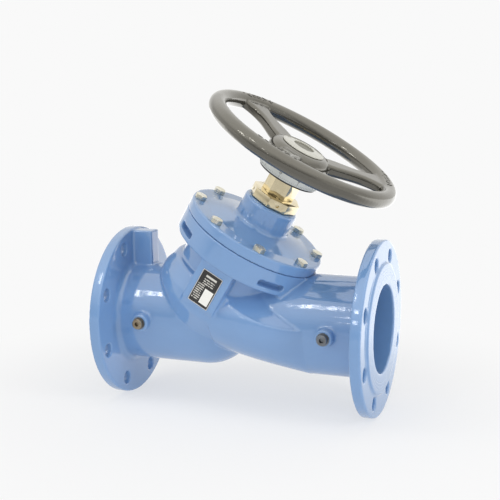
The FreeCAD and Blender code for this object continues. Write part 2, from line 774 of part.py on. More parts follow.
keep("upper_thrust_ring", ring("upper_thrust_ring", UPPER_BORE, "gland_bore / 2",
                               COLLAR_FOOT + " - thrust_ring_thick", COLLAR_FOOT))

collar = new_body("collar", on_stem())
turned(collar, box_outline("0", "gland_bore / 2", COLLAR_FOOT, OCTAGON_FOOT + " + edge_round"))
prism(collar, 8, "collar_corner_dia * cos(22.5)", "collar_turn - 67.5", OCTAGON_FOOT, OCTAGON_TOP)
turned(collar, box_outline("0", UPPER_BORE, COLLAR_FOOT, OCTAGON_TOP), cut=True)
turned(collar, box_outline("0", CHAMBER, PACKING_FOOT, OCTAGON_TOP), cut=True)
turned(collar, box_outline("gland_bore / 2 - gland_ring_section + fit_gap", "gland_bore / 2 + edge_round",
                           RING_PLACE + " - gland_ring_section * 0.6",
                           RING_PLACE + " + gland_ring_section * 0.6"), cut=True)
pin_reach = sizes.collar_corner_dia / 2 * math.cos(math.pi / 8) - sizes.collar_hole_depth
pin_level = sizes.bonnet_neck_top + sizes.collar_gap + sizes.collar_height / 2
pin_holes = drilled("pin_holes", "collar_hole_dia / 2", "collar_hole_depth * 2",
                    [Placement(Vector(), Rotation(Vector(0, 0, 1), sizes.collar_turn + 90 * i))
                     * Placement(Vector(pin_reach, 0, pin_level), Rotation(Vector(0, 1, 0), 90))
                     for i in range(4)])
keep("gland_collar", joined("Part::Cut", "gland_collar", [collar, pin_holes]))


def o_ring(label, outer, section, level):
    """A round-section ring about the stem at a level, by its outer radius and section."""
    torus = doc.addObject("Part::Torus", label)
    torus.setExpression("Radius1", bound("%s - (%s) / 2" % (outer, section)))
    torus.setExpression("Radius2", bound("(%s) / 2" % section))
    torus.Placement = on_stem() * Placement(Vector(0, 0, level), Rotation())
    doc.recompute()
    return torus


collar_ring_level = (sizes.web_top + 2 * sizes.thrust_ring_thick + sizes.stem_collar_thick
                     + sizes.packing_floor / 2)
keep("gland_o_ring", o_ring("gland_o_ring", GLAND_HOLE, "gland_ring_section", collar_ring_level))

packing_ring = new_body("packing_ring", Placement())
turned(packing_ring, box_outline(UPPER_BORE, CHAMBER + " - fit_gap", PACKING_FOOT,
                                 PACKING_FOOT + " + packing_ring_thick - fit_gap"))
ring_of_pieces("stem_packing", packing_ring,
               [Placement(Vector(0, 0, i * sizes.packing_ring_thick), Rotation())
                for i in range(sizes.packing_ring_count)])
keep("gland_follower", ring("gland_follower", UPPER_BORE, CHAMBER + " - fit_gap", PACKING_TOP,
                            PACKING_TOP + " + follower_thick"))

gland_nut = new_body("gland_nut", on_stem())
turned(gland_nut, box_outline("0", CHAMBER + " - fit_gap", PACKING_TOP + " + follower_thick",
                              OCTAGON_TOP + " + edge_round"))
prism(gland_nut, 6, "gland_nut_flats", "gland_nut_turn - 60", OCTAGON_TOP,
      OCTAGON_TOP + " + gland_nut_height")
turned(gland_nut, box_outline("0", "upper_stem_dia / 2 + free_gap", PACKING_TOP,
                              OCTAGON_TOP + " + gland_nut_height"), cut=True)
keep("gland_nut", gland_nut)

# Nameplate and test points

nameplate = new_body("nameplate", on_stem())
padded(nameplate, box_outline("-plate_width / 2", "plate_width / 2",
                              "-panel_reach - plate_thick", "-panel_reach"),
       "plate_level - plate_length / 2", "plate_level + plate_length / 2")
keep("nameplate", nameplate)

for name, place in (("inlet_test", sizes.inlet_tap_place), ("outlet_test", sizes.outlet_tap_place)):
    keep(name + "_washer", turned_body(
        name + "_washer", on_tap(place),
        box_outline("tap_thread_dia / 2 + running_gap", "tap_head_dia / 2 + edge_round",
                    "tap_boss_reach", "tap_boss_reach + tap_washer_thick")))
    plug = new_body(name + "_plug", on_tap(place))
    head_foot = "tap_boss_reach + tap_washer_thick"
    turned(plug, [("0", head_foot + " - tap_shank_length"),
                  ("tap_thread_dia / 2", head_foot + " - tap_shank_length"),
                  ("tap_thread_dia / 2", head_foot), ("tap_head_dia / 2", head_foot),
                  ("tap_head_dia / 2", head_foot + " + tap_head_height"),
                  ("0", head_foot + " + tap_head_height")], {"edge_round": [4]})
    padded(plug, polygon(6, "tap_socket / 2 / cos(30)", "15"), head_foot,
           head_foot + " + tap_head_height + edge_round", cut=True)
    keep(name + "_plug", plug)

# Stem, one turned piece with a thrust collar and a bore for the setting spindle

STEM_COLLAR_FOOT = "(web_top + thrust_ring_thick + running_gap)"
STEM_COLLAR_TOP = "(web_top + thrust_ring_thick + stem_collar_thick - running_gap)"
HUB_FOOT = "(drum_level + drum_height)"
HUB_FLOOR = "(%s + hub_floor)" % HUB_FOOT
stem = new_body("stem", on_stem())
turned(stem, [("setting_dia / 2 + running_gap", "stem_foot"), ("stem_dia / 2", "stem_foot"),
              ("stem_dia / 2", STEM_COLLAR_FOOT), ("stem_collar_dia / 2", STEM_COLLAR_FOOT),
              ("stem_collar_dia / 2", STEM_COLLAR_TOP), ("upper_stem_dia / 2", STEM_COLLAR_TOP),
              ("upper_stem_dia / 2", "drum_level"), ("hub_seat_dia / 2", "drum_level"),
              ("hub_seat_dia / 2", HUB_FLOOR), ("wheel_thread_dia / 2", HUB_FLOOR),
              ("wheel_thread_dia / 2", "wheel_thread_top"),
              ("setting_dia / 2 + running_gap", "wheel_thread_top")])
padded(stem, box_outline("hub_seat_dia / 2 - wheel_key_depth", "upper_stem_dia / 2 + edge_round",
                         "-wheel_key_width / 2 - fit_gap", "wheel_key_width / 2 + fit_gap"),
       HUB_FOOT + " + edge_round", HUB_FLOOR, cut=True)
keep("stem", stem)

# Handwheel: hub, three flared spokes and rim in one casting

hub = new_body("hub", on_stem())
turned(hub, [("hub_seat_dia / 2 + fit_gap", HUB_FOOT), ("hub_dia / 2", HUB_FOOT),
             ("hub_dia / 2", HUB_FOOT + " + hub_height"),
             ("hub_recess_dia / 2", HUB_FOOT + " + hub_height"),
             ("hub_recess_dia / 2", HUB_FLOOR), ("hub_seat_dia / 2 + fit_gap", HUB_FLOOR)],
       {"hub_round": [2], "edge_round": [1]})
padded(hub, box_outline("hub_seat_dia / 4", "hub_seat_dia / 2 + wheel_key_depth + running_gap",
                        "-wheel_key_width / 2 - fit_gap", "wheel_key_width / 2 + fit_gap"),
       HUB_FOOT + " + edge_round", HUB_FLOOR, cut=True)
rim = doc.addObject("Part::Torus", "rim")
rim.setExpression("Radius1", bound("rim_dia / 2"))
rim.setExpression("Radius2", bound("rim_section / 2"))
rim.Placement = on_stem() * Placement(Vector(0, 0, sizes.rim_level), Rotation())

HUB_WALL = (sizes.hub_dia + sizes.hub_recess_dia) / 4
RIM_INSIDE = (sizes.rim_dia - sizes.rim_section) / 2
SPOKE_RISE = sizes.rim_level - sizes.spoke_hub_level
across_spoke = Rotation(Vector(0, 1, 0), Vector(0, 0, 1), Vector(1, 0, 0), "ZXY")


def spoke_section(place, width, thick, turn):
    """A rounded rectangle across a spoke, at a reach from the stem axis."""
    side = width / 2 - sizes.spoke_corner
    top = thick / 2 - sizes.spoke_corner
    corners = [Vector(side, top, 0), Vector(-side, top, 0), Vector(-side, -top, 0),
               Vector(side, -top, 0), Vector(side, top, 0)]
    section = doc.addObject("Part::Feature", "spoke_section")
    section.Shape = Part.makePolygon(corners).makeOffset2D(sizes.spoke_corner)
    rise = (place - HUB_WALL) / (sizes.rim_dia / 2 - HUB_WALL)
    spot = Vector(place, 0, sizes.spoke_hub_level + rise * SPOKE_RISE)
    section.Placement = on_stem(turn) * Placement(spot, across_spoke)
    return section


spokes = []
for number in range(sizes.spoke_count):
    turn = -90 + number * 360.0 / sizes.spoke_count
    spoke = doc.addObject("Part::Loft", "spoke_%d" % number)
    spoke.Sections = [
        spoke_section(HUB_WALL, sizes.spoke_width * 1.15, sizes.spoke_thick, turn),
        spoke_section(RIM_INSIDE * 0.65, sizes.spoke_width, sizes.spoke_thick * 0.95, turn),
        spoke_section(RIM_INSIDE * 0.82, sizes.spoke_width * 1.1, sizes.spoke_thick * 0.9, turn),
        spoke_section(RIM_INSIDE * 0.93, sizes.spoke_width * 1.5, sizes.spoke_thick * 0.86, turn),
        spoke_section(sizes.rim_dia / 2, sizes.spoke_flare, sizes.spoke_thick * 0.82, turn)]
    spoke.Solid = True
    spokes.append(spoke)
doc.recompute()
keep("handwheel", joined("Part::MultiFuse", "handwheel", [hub, rim] + spokes))

# Scale drum, its seal, and what holds the wheel on the stem

HUB_BORE = "(hub_seat_dia / 2 + fit_gap)"
DRUM_FLOOR = "(drum_level + drum_wall)"
keep("scale_drum", turned_body(
    "scale_drum", on_stem(),
    [(HUB_BORE, "drum_level"), ("drum_dia / 2", "drum_level"), ("drum_dia / 2", HUB_FOOT),
     ("drum_dia / 2 - drum_wall", HUB_FOOT), ("drum_dia / 2 - drum_wall", DRUM_FLOOR),
     (HUB_BORE + " + hub_sleeve_wall", DRUM_FLOOR), (HUB_BORE + " + hub_sleeve_wall", HUB_FOOT),
     (HUB_BORE, HUB_FOOT)]))
keep("drum_seal", ring("drum_seal", "hub_recess_dia / 2", "drum_seal_dia / 2",
                       "drum_level - drum_seal_thick", "drum_level"))
wheel_key = new_body("wheel_key", on_stem())
padded(wheel_key, box_outline("hub_seat_dia / 2 - wheel_key_depth + fit_gap",
                              "hub_seat_dia / 2 + wheel_key_depth",
                              "-wheel_key_width / 2", "wheel_key_width / 2"),
       HUB_FOOT + " + edge_round + fit_gap", HUB_FLOOR + " - fit_gap")
keep("wheel_key", wheel_key)
keep("wheel_washer", ring("wheel_washer", "wheel_thread_dia / 2 + running_gap",
                          "wheel_nut_flats * 0.65", HUB_FLOOR,
                          HUB_FLOOR + " + wheel_washer_thick"))
wheel_nut = new_body("wheel_nut", on_stem())
prism(wheel_nut, 6, "wheel_nut_flats", "10", HUB_FLOOR + " + wheel_washer_thick",
      HUB_FLOOR + " + wheel_washer_thick + wheel_nut_height")
turned(wheel_nut, box_outline("0", "wheel_thread_dia / 2 + fit_gap", HUB_FLOOR,
                              HUB_FLOOR + " + wheel_washer_thick + wheel_nut_height"), cut=True)
keep("wheel_nut", wheel_nut)

CAP_FOOT = "(%s + hub_height)" % HUB_FOOT
CAP_TOP = "(%s + cap_thick)" % CAP_FOOT
SKIRT = "(hub_recess_dia / 2 - fit_gap)"
keep("hub_cap", turned_body(
    "hub_cap", on_stem(),
    [("access_dia / 2 + fit_gap", CAP_FOOT), (SKIRT + " - cap_thick", CAP_FOOT),
     (SKIRT + " - cap_thick", CAP_FOOT + " - cap_skirt"), (SKIRT, CAP_FOOT + " - cap_skirt"),
     (SKIRT, CAP_FOOT), ("cap_dia / 2", CAP_FOOT), ("cap_dia / 2", CAP_TOP + " - cap_crown"),
     ("access_dia / 2 + cap_thick", CAP_TOP), ("access_dia / 2 + fit_gap", CAP_TOP)],
    {"edge_round * 0.6": [6]}))
keep("access_plug", turned_body(
    "access_plug", on_stem(),
    [("0", CAP_FOOT + " - cap_thick"), ("access_dia / 2 + cap_thick", CAP_FOOT + " - cap_thick"),
     ("access_dia / 2 + cap_thick", CAP_FOOT + " - fit_gap"),
     ("access_dia / 2", CAP_FOOT + " - fit_gap"), ("access_dia / 2", CAP_TOP + " - access_sink"),
     ("0", CAP_TOP + " - access_sink")]))

# Disc group, which the stem drives up and down

SEAL_FOOT = "(seat_level + running_gap)"
DISC_FOOT = "(%s + seal_thick)" % SEAL_FOOT
DISC_TOP = "(%s + disc_thick)" % DISC_FOOT
SEAL_IN = "(seat_bore / 2 - plug_gap)"
SEAL_OUT = "(%s + seal_width)" % SEAL_IN
PLUG_FOOT = "(%s - plug_length)" % DISC_FOOT
DISC_BORE = "(carrier_spigot_dia / 2 + fit_gap)"
keep("disc", turned_body(
    "disc", on_stem(),
    [(DISC_BORE, DISC_FOOT), (SEAL_OUT, DISC_FOOT), (SEAL_OUT, SEAL_FOOT + " + seal_thick / 2"),
     (SEAL_OUT + " + disc_skirt", SEAL_FOOT + " + seal_thick / 2"),
     (SEAL_OUT + " + disc_skirt", DISC_TOP + " - casting_wall / 2"),
     ("carrier_dia / 2 + casting_wall", DISC_TOP), (DISC_BORE, DISC_TOP)]))
keep("disc_seal", ring("disc_seal", SEAL_IN, SEAL_OUT + " - fit_gap", SEAL_FOOT, DISC_FOOT))
keep("throttle_plug", turned_body(
    "throttle_plug", on_stem(),
    [(DISC_BORE, PLUG_FOOT), (SEAL_IN + " - plug_taper", PLUG_FOOT),
     (SEAL_IN + " - fit_gap", SEAL_FOOT), (SEAL_IN + " - fit_gap", DISC_FOOT),
     (DISC_BORE, DISC_FOOT)]))

carrier = new_body("disc_carrier_sleeve", on_stem())
WASHER_FOOT = "(%s - carrier_washer_thick)" % PLUG_FOOT
NUT_FOOT = "(%s - carrier_nut_height)" % WASHER_FOOT
turned(carrier, [("0", NUT_FOOT + " - edge_round"),
                 ("carrier_thread_dia / 2", NUT_FOOT + " - edge_round"),
                 ("carrier_thread_dia / 2", PLUG_FOOT), ("carrier_spigot_dia / 2", PLUG_FOOT),
                 ("carrier_spigot_dia / 2", DISC_TOP), ("carrier_dia / 2", DISC_TOP),
                 ("carrier_dia / 2", "carrier_top"), (STEM_BORE, "carrier_top"),
                 (STEM_BORE, "carrier_bore_foot"), ("0", "carrier_bore_foot")])
KEY_TOP = "(carrier_top - edge_round)"
KEY_FOOT = "(%s - guide_key_length)" % KEY_TOP
for side in ("1", "-1"):
    padded(carrier, box_outline(side + " * (carrier_dia / 2 - guide_key_stand - fit_gap)",
                                side + " * (carrier_dia / 2 + guide_key_stand)",
                                "-guide_key_width / 2 - fit_gap", "guide_key_width / 2 + fit_gap"),
           KEY_FOOT + " - fit_gap", KEY_TOP + " + fit_gap", cut=True)
keep("carrier_sleeve", carrier)
guide_key = new_body("guide_key", Placement())
padded(guide_key, box_outline("carrier_dia / 2 - guide_key_stand", "carrier_dia / 2 + guide_key_stand",
                              "-guide_key_width / 2", "guide_key_width / 2"), KEY_FOOT, KEY_TOP)
ring_of_pieces("guide_keys", guide_key,
               [Placement(Vector(), Rotation(Vector(0, 0, 1), turn)) for turn in (0, 180)])
keep("carrier_washer", ring("carrier_washer", "carrier_thread_dia / 2 + running_gap",
                            "carrier_nut_flats * 0.65", WASHER_FOOT, PLUG_FOOT))
carrier_nut = new_body("carrier_nut", on_stem())
padded(carrier_nut, polygon(6, "carrier_nut_flats / 2 / cos(30)", "0"), NUT_FOOT, WASHER_FOOT)
turned(carrier_nut, box_outline("0", "carrier_thread_dia / 2 + fit_gap", NUT_FOOT, WASHER_FOOT),
       cut=True)
keep("carrier_nut", carrier_nut)

# Setting spindle with its ring

spindle = new_body("spindle", on_stem())
turned(spindle, box_outline("0", "setting_dia / 2", "setting_foot", "setting_top"))
turned(spindle, box_outline("setting_dia / 2 - setting_ring_section + running_gap",
                            "setting_dia / 2 + edge_round",
                            "setting_ring_level - setting_ring_section * 0.6",
                            "setting_ring_level + setting_ring_section * 0.6"), cut=True)
padded(spindle, polygon(6, "setting_socket / 2 / cos(30)", "0"),
       "setting_top - setting_socket_depth", "setting_top + edge_round", cut=True)
keep("setting_spindle", spindle)
keep("setting_o_ring", o_ring("setting_o_ring", "(setting_dia / 2 + running_gap)",
                              "setting_ring_section", sizes.setting_ring_level))

# Write the files
doc.recompute()
os.makedirs("parts", exist_ok=True)
for item in doc.Objects:
    if "Invalid" in item.State or "Error" in item.State:
        raise RuntimeError("%s failed" % item.Label)
for label, item in kept.items():
    if item.Shape.isNull() or not item.Shape.isValid():
        raise RuntimeError("%s has no sound shape" % label)
    item.Shape.exportStep("parts/%s.step" % label)
    print(label, len(item.Shape.Solids), "%.0f mm3" % item.Shape.Volume)
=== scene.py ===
import math

import bpy
from mathutils import Matrix, Vector


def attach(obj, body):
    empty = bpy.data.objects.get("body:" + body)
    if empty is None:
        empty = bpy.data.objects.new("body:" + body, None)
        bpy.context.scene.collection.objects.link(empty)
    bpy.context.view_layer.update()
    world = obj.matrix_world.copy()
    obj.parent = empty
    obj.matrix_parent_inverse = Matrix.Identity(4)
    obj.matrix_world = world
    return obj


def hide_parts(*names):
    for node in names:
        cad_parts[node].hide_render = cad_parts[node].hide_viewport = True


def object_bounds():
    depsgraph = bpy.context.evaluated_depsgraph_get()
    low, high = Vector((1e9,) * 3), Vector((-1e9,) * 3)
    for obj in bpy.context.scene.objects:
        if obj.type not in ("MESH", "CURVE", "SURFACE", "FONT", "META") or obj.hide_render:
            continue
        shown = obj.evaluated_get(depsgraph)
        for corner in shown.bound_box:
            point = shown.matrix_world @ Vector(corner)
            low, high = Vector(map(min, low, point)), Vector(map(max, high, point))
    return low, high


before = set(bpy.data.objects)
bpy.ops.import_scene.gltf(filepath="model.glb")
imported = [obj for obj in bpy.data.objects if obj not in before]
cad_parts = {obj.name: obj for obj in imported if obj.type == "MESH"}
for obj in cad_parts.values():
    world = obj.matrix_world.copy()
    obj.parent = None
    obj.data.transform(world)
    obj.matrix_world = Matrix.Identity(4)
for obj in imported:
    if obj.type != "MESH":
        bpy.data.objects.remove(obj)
cad_low, cad_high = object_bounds()

# Camera
# It stands where the photograph was taken from, a little above the valve and to the outlet
# side, with a lens long enough that both flanges keep their round outline.

camera_data = bpy.data.cameras.new("camera")
camera = bpy.data.objects.new("camera", camera_data)
bpy.context.collection.objects.link(camera)
camera_data.sensor_width = 36.0
camera_data.lens = 76.66
camera_data.clip_start = 0.05
camera_data.clip_end = 60.0
view_right = Vector((0.93853133, 0.34517752, -0.00338089))
view_up = Vector((-0.05718366, 0.16512526, 0.98461347))
view_back = Vector((0.3404247, -0.92389725, 0.17471375))
camera.matrix_world = Matrix((view_right, view_up, view_back)).transposed().to_4x4()
camera.location = (0.72342, -1.41939, 0.36884)
bpy.context.scene.camera = camera
bpy.context.scene.view_settings.view_transform = "Standard"

# Studio
# A white room with soft light from above, from both sides and from low in front. Narrow
# windows give the paint its glints, and the pale floor keeps the shadow of the valve.

backdrop_white = (0.947, 0.947, 0.947, 1.0)
mid_pipe = 0.2
aim_height = 0.08


def node(tree, kind, inputs=(), **settings):
    """A shader node with its settings, and its inputs as values or as sockets to link from."""
    made = tree.nodes.new("ShaderNode" + kind)
    for key, value in settings.items():
        setattr(made, key, value)
    for key, value in dict(inputs).items():
        if isinstance(value, bpy.types.NodeSocket):
            tree.links.new(value, made.inputs[key])
        else:
            made.inputs[key].default_value = value
    return made


def worked_out(tree, operation, *terms, clamp=False):
    """The output of one Math node."""
    return node(tree, "Math", enumerate(terms), operation=operation, use_clamp=clamp).outputs[0]


def ramp(tree, value, start, end, low=0.0, high=1.0):
    """A number that glides from low to high while another goes from start to end."""
    return node(tree, "MapRange", {"Value": value, "From Min": start, "From Max": end,
                                   "To Min": low, "To Max": high},
                interpolation_type="SMOOTHSTEP").outputs["Result"]


def parted(tree, place):
    """The X, Y and Z of a place."""
    return node(tree, "SeparateXYZ", {0: place}).outputs


def length_of(tree, place):
    """How far a place is from its origin."""
    return node(tree, "VectorMath", {0: place}, operation="LENGTH").outputs["Value"]


def either(tree, share, first, second):
    """One shader that gives way to another where a share rises from nought to one."""
    return node(tree, "MixShader", {0: share, 1: first, 2: second}).outputs[0]


world = bpy.data.worlds.new("studio")
world.use_nodes = True
bpy.context.scene.world = world
room = world.node_tree
room.nodes.clear()
ray = node(room, "LightPath").outputs
sky = parted(room, node(room, "TexCoord").outputs["Generated"])
aside = worked_out(room, "ABSOLUTE", sky["X"])
ceiling = ramp(room, sky["Z"], start=-0.1, end=0.75, low=0.26, high=1.3)
back_wall = ramp(room, sky["Y"], start=0.1, end=0.7, low=0.30, high=1.0)
side_wall = ramp(room, aside, start=0.55, end=0.95, low=0.25, high=0.85)
walls = worked_out(room, "MAXIMUM", back_wall, side_wall)
brightness = worked_out(room, "MAXIMUM", ceiling, walls)
mirrored = node(room, "Background", {"Color": (1.0, 0.99, 0.96, 1.0), "Strength": brightness})
room_light = node(room, "Background", {"Color": (1.0, 1.0, 1.0, 1.0), "Strength": 0.60})
seen_white = node(room, "Background", {"Color": backdrop_white})
seen = worked_out(room, "MAXIMUM", ray["Is Camera Ray"], ray["Is Transmission Ray"])
unseen = either(room, ray["Is Glossy Ray"], room_light.outputs[0], mirrored.outputs[0])
node(room, "OutputWorld", {"Surface": either(room, seen, unseen, seen_white.outputs[0])})


def soft_panel(name, spot, wide, tall, watts, glints=True):
    """A rectangular studio light that faces the valve, with or without its own reflection."""
    lamp = bpy.data.lights.new(name, "AREA")
    lamp.shape = "RECTANGLE"
    lamp.size = wide
    lamp.size_y = tall
    lamp.energy = watts
    holder = bpy.data.objects.new(name, lamp)
    bpy.context.collection.objects.link(holder)
    holder.location = spot
    holder.visible_glossy = glints
    aim = Vector((spot[0] if glints else mid_pipe, 0.0, aim_height)) - Vector(spot)
    holder.rotation_euler = aim.to_track_quat("-Z", "Y").to_euler()


soft_panel("overhead_panel", (0.25, -0.55, 1.9), wide=1.2, tall=1.0, watts=6.5, glints=False)
soft_panel("left_panel", (-1.45, -0.9, 0.75), wide=0.5, tall=0.9, watts=4.0, glints=False)
soft_panel("right_panel", (1.9, -0.5, 0.7), wide=0.5, tall=0.9, watts=11.0, glints=False)
soft_panel("front_fill", (0.3, -2.3, 0.0), wide=1.5, tall=0.4, watts=8.0, glints=False)
soft_panel("left_window_a", (-0.872, -1.21, 1.46), wide=0.040, tall=0.50, watts=0.65)
soft_panel("left_window_b", (-0.770, -1.19, 1.54), wide=0.058, tall=0.40, watts=0.8)
soft_panel("middle_window_a", (-0.287, -1.33, 1.58), wide=0.030, tall=0.34, watts=0.5)
soft_panel("middle_window_b", (-0.200, -1.33, 1.60), wide=0.018, tall=0.34, watts=0.3)
soft_panel("upper_strip", (-0.10, -1.75, 1.10), wide=0.10, tall=0.12, watts=0.25)
soft_panel("lower_strip", (-0.10, -1.95, 0.66), wide=0.10, tall=0.12, watts=0.2)

bpy.ops.object.select_all(action="DESELECT")
bpy.ops.mesh.primitive_plane_add(size=14.0, location=(mid_pipe, 0.0, cad_low.z))
floor = bpy.context.active_object
floor.name = "floor"
floor_paint = bpy.data.materials.new("floor_paint")
floor_paint.use_nodes = True
tree = floor_paint.node_tree
tree.nodes.clear()
spot = node(tree, "TexCoord").outputs["Object"]
fade = ramp(tree, length_of(tree, spot), start=0.27, end=0.58, low=0.62)
near_floor = node(tree, "BsdfDiffuse", {"Color": (0.97, 0.97, 0.97, 1.0)})
glossy = node(tree, "LightPath").outputs["Is Glossy Ray"]
lift = ramp(tree, parted(tree, spot)["Y"], start=-0.1, end=0.5, low=-0.3, high=0.75)
glow = worked_out(tree, "MULTIPLY_ADD", glossy, lift, 1.0)
far_floor = node(tree, "Emission", {"Color": backdrop_white, "Strength": glow})
blend = either(tree, fade, near_floor.outputs[0], far_floor.outputs[0])
node(tree, "OutputMaterial", {"Surface": blend})
floor.data.materials.append(floor_paint)

# Valve body
# One ductile iron casting from a sand mould, with two flanges, a belly with the slanted
# partition inside, and the ring that carries the bonnet, dipped or sprayed with blue epoxy.


def effect(name, **inputs):
    """A node group that works out a surface's colour, roughness and height."""
    group = bpy.data.node_groups.new(name, "ShaderNodeTree")
    for label, kind in inputs.items():
        group.interface.new_socket(label, in_out="INPUT", socket_type="NodeSocket" + kind)
    for label, kind in (("Colour", "Color"), ("Roughness", "Float"), ("Height", "Float")):
        group.interface.new_socket(label, in_out="OUTPUT", socket_type="NodeSocket" + kind)
    return group, group.nodes.new("NodeGroupInput").outputs


def put_out(group, colour, roughness, height):
    """Joins what a node group has worked out to its outputs."""
    ends = group.nodes.new("NodeGroupOutput").inputs
    for label, result in (("Colour", colour), ("Roughness", roughness), ("Height", height)):
        group.links.new(result, ends[label])


def placed(tree, group, inputs):
    """The outputs of a node group that is put in a material, with its inputs."""
    return node(tree, "Group", inputs, node_tree=group).outputs


def grain(tree, place, waves, detail=2.0, rough=0.5):
    """Noise about a middle of nought, with a number of waves to the metre."""
    noise = node(tree, "TexNoise", {"Vector": place, "Scale": waves, "Detail": detail,
                                    "Roughness": rough})
    return worked_out(tree, "SUBTRACT", noise.outputs[0], 0.5)


def toned(tree, colour, share):
    """A colour made lighter or darker by a share that changes over the surface."""
    amount = worked_out(tree, "ADD", share, 1.0)
    return node(tree, "VectorMath", {0: colour, "Scale": amount}, operation="SCALE").outputs[0]


def summed(tree, *terms):
    """The sum of several heights."""
    total = terms[0]
    for term in terms[1:]:
        total = worked_out(tree, "ADD", total, term)
    return total


def times(tree, *terms):
    """The product of several masks or heights."""
    product = terms[0]
    for term in terms[1:]:
        product = worked_out(tree, "MULTIPLY", product, term)
    return product


def between(tree, value, low, high):
    """One where a value lies between two others, and nought elsewhere."""
    return times(tree, worked_out(tree, "GREATER_THAN", value, low),
                 worked_out(tree, "LESS_THAN", value, high))


paint_film, given = effect("paint_film", Place="Vector", Paint="Color", Swell="Float",
                           Dull="Float")
tree = paint_film
flow = times(tree, grain(tree, given["Place"], waves=30.0, detail=1.0), given["Swell"])
ripple = times(tree, grain(tree, given["Place"], waves=85.0, detail=1.0), given["Swell"], 0.25)
sand = times(tree, grain(tree, given["Place"], waves=150.0, detail=3.0), 0.00003)
peel = times(tree, grain(tree, given["Place"], waves=620.0, detail=1.0), 0.000012)
patches = times(tree, grain(tree, given["Place"], waves=11.0, detail=4.0, rough=0.6), 0.16)
worn = times(tree, grain(tree, given["Place"], waves=55.0, detail=4.0, rough=0.7), 0.16)
put_out(tree, toned(tree, given["Paint"], patches), worked_out(tree, "ADD", worn, given["Dull"]),
        summed(tree, flow, ripple, sand, peel))


def finish(name, **values):
    """A new material with its shader's own values, ready for its nodes."""
    material = bpy.data.materials.new(name)
    material.use_nodes = True
    shader = material.node_tree.nodes["Principled BSDF"]
    for key, value in values.items():
        shader.inputs[key.replace("_", " ")].default_value = value
    place = node(material.node_tree, "TexCoord").outputs["Object"]
    return material, material.node_tree, shader.inputs, place


def surfaced(tree, shader, colour, roughness, height):
    """Joins a surface's colour, roughness and height in metres to its shader."""
    bump = node(tree, "Bump", {"Height": height, "Distance": 1.0, "Strength": 1.0})
    tree.links.new(colour, shader["Base Color"])
    tree.links.new(roughness, shader["Roughness"])
    tree.links.new(bump.outputs[0], shader["Normal"])


def loose_copy(source, name):
    """A copy of a CAD piece's mesh, with its doubled points merged."""
    bpy.ops.object.select_all(action="DESELECT")
    piece = bpy.data.objects.new(name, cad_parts[source].data.copy())
    bpy.context.collection.objects.link(piece)
    piece.select_set(True)
    bpy.context.view_layer.objects.active = piece
    bpy.ops.object.mode_set(mode="EDIT")
    bpy.ops.mesh.select_all(action="SELECT")
    bpy.ops.mesh.remove_doubles(threshold=0.00001)
    bpy.ops.object.mode_set(mode="OBJECT")
    piece.data.materials.clear()
    return piece


def worked(piece, kind, **settings):
    """Adds a modifier to the active piece, with its settings, and applies it."""
    modifier = piece.modifiers.new(kind.lower(), kind)
    for key, value in settings.items():
        setattr(modifier, key, value)
    bpy.ops.object.modifier_apply(modifier=modifier.name)


def soft_casting(source, name, cell, share):
    """A copy of a casting with the rounded edges and corners that a sand mould gives."""
    piece = loose_copy(source, name)
    worked(piece, "REMESH", mode="VOXEL", voxel_size=cell)
    worked(piece, "SMOOTH", factor=0.5, iterations=5)
    worked(piece, "DECIMATE", ratio=share)
    bpy.ops.object.shade_smooth()
    worked(piece, "WEIGHTED_NORMAL", mode="FACE_AREA")
    return piece


def fitted(piece, material, body, stands_for):
    """A finished piece takes its material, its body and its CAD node."""
    piece.data.materials.append(material)
    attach(piece, body)
    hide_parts(stands_for)


contact_face = 0.1992
raised_inner, raised_outer = 0.0715, 0.0872
groove_pitch = 0.0045
groove_depth = 0.0004

blue_paint, tree, shader, place = finish("blue_paint", IOR=1.9, Coat_Weight=0.3,
                                         Coat_Roughness=0.1, Sheen_Weight=0.12,
                                         Sheen_Roughness=0.4)
film = placed(tree, paint_film, {"Place": place, "Paint": (0.164, 0.312, 0.572, 1.0),
                                 "Swell": 0.0003, "Dull": 0.07})
spread = parted(tree, place)
across = node(tree, "CombineXYZ", {"Y": spread["Y"], "Z": spread["Z"]}).outputs[0]
reach = length_of(tree, across)
from_middle = worked_out(tree, "SUBTRACT", spread["X"], mid_pipe)
on_face = worked_out(tree, "GREATER_THAN", worked_out(tree, "ABSOLUTE", from_middle), contact_face)
ring_wave = worked_out(tree, "SINE", times(tree, reach, math.tau / groove_pitch))
cut = worked_out(tree, "MINIMUM", worked_out(tree, "ADD", ring_wave, 0.35), 0.0)
grooves = times(tree, cut, between(tree, reach, raised_inner, raised_outer), on_face, groove_depth)
surfaced(tree, shader, film["Colour"], film["Roughness"], summed(tree, film["Height"], grooves))

body_casting = soft_casting("valve_body", "body_casting", cell=0.0017, share=0.34)
fitted(body_casting, blue_paint, "valve", "valve_body")

# Seat ring
# A stainless ring, turned on a lathe and pressed into the slanted partition. The disc closes
# on its raised lip.

stem_foot = (0.136, 0.0, 0.0)
stem_lean = math.radians(30.0)


def from_stem(tree, place):
    """A place measured from where the stem crosses the pipe, with Z along the stem."""
    return node(tree, "Mapping", {"Vector": place, "Location": stem_foot,
                                  "Rotation": (0.0, stem_lean, 0.0)},
                vector_type="TEXTURE").outputs[0]


def round_axis(tree, place):
    """Radius, level and turn of a place that has Z along its piece's axis."""
    parts = parted(tree, place)
    flat = node(tree, "CombineXYZ", {"X": parts["X"], "Y": parts["Y"]}).outputs[0]
    turn = worked_out(tree, "ARCTAN2", parts["Y"], parts["X"])
    return length_of(tree, flat), parts["Z"], turn


